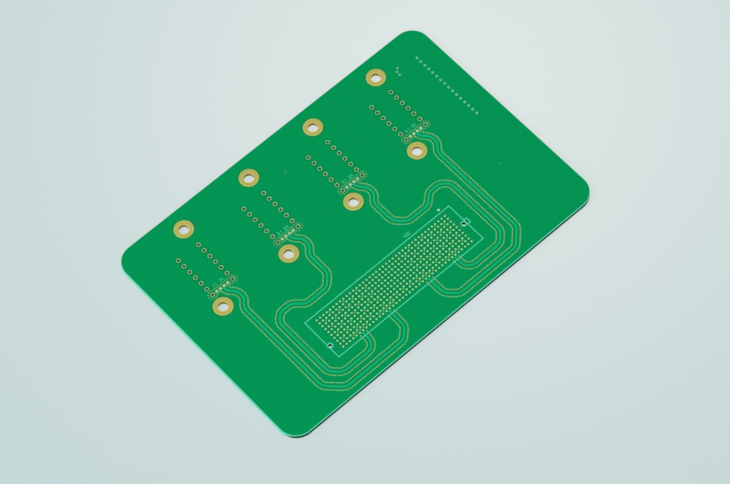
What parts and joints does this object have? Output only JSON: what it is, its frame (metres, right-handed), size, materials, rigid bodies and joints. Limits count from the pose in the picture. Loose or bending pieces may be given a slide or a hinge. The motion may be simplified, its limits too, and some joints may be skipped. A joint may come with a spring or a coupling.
{
  "type": "bare circuit board",
  "caption": "Flat rounded rectangular green circuit board with header hole footprints, plated mounting holes, a dense connector pad array, and fenced trace pairs.",
  "frame": {"origin": "centre of the board's underside", "axes": "+X along the long edge, +Y along the short edge from the connector's side to the mounting holes, +Z out of the printed face"},
  "size_m": [0.1174, 0.08, 0.0016],
  "materials": {
    "laminate": "glass-epoxy, cut edges",
    "mask": "green solder mask, satin",
    "copper": "copper under the mask",
    "track": "copper under the mask, seen through it",
    "gold": "immersion gold",
    "pad_gold": "immersion gold, small pads",
    "legend": "thin printed ink, green showing through"
  },
  "bodies": {
    "root": {"laminate": "laminate", "ground_plane_top": "copper", "ground_plane_bottom": "copper", "solder_mask_top": "mask", "solder_mask_bottom": "mask", "mounting_lands_upper": "gold", "mounting_lands_lower": "gold", "header_barrels_1": "gold", "header_barrels_2": "gold", "header_barrels_3": "gold", "header_barrels_4": "gold", "input_pads_1": "pad_gold", "input_pads_2": "pad_gold", "input_pads_3": "pad_gold", "input_pads_4": "pad_gold", "trace_pair_1": "track", "trace_pair_2": "track", "trace_pair_3": "track", "trace_pair_4": "track", "ground_fence_1": "pad_gold", "ground_fence_2": "pad_gold", "ground_fence_3": "pad_gold", "ground_fence_4": "pad_gold", "footprint_fence_1": "pad_gold", "footprint_fence_2": "pad_gold", "footprint_fence_3": "pad_gold", "footprint_fence_4": "pad_gold", "connector_pads": "pad_gold", "connector_vias": "pad_gold", "via_row": "pad_gold", "via_trio": "pad_gold", "stray_vias": "pad_gold", "connector_outline": "legend", "pin_one_mark": "legend", "hole_rings": "legend", "pad_numbers": "legend", "connector_number": "legend"}
  },
  "joints": []
}
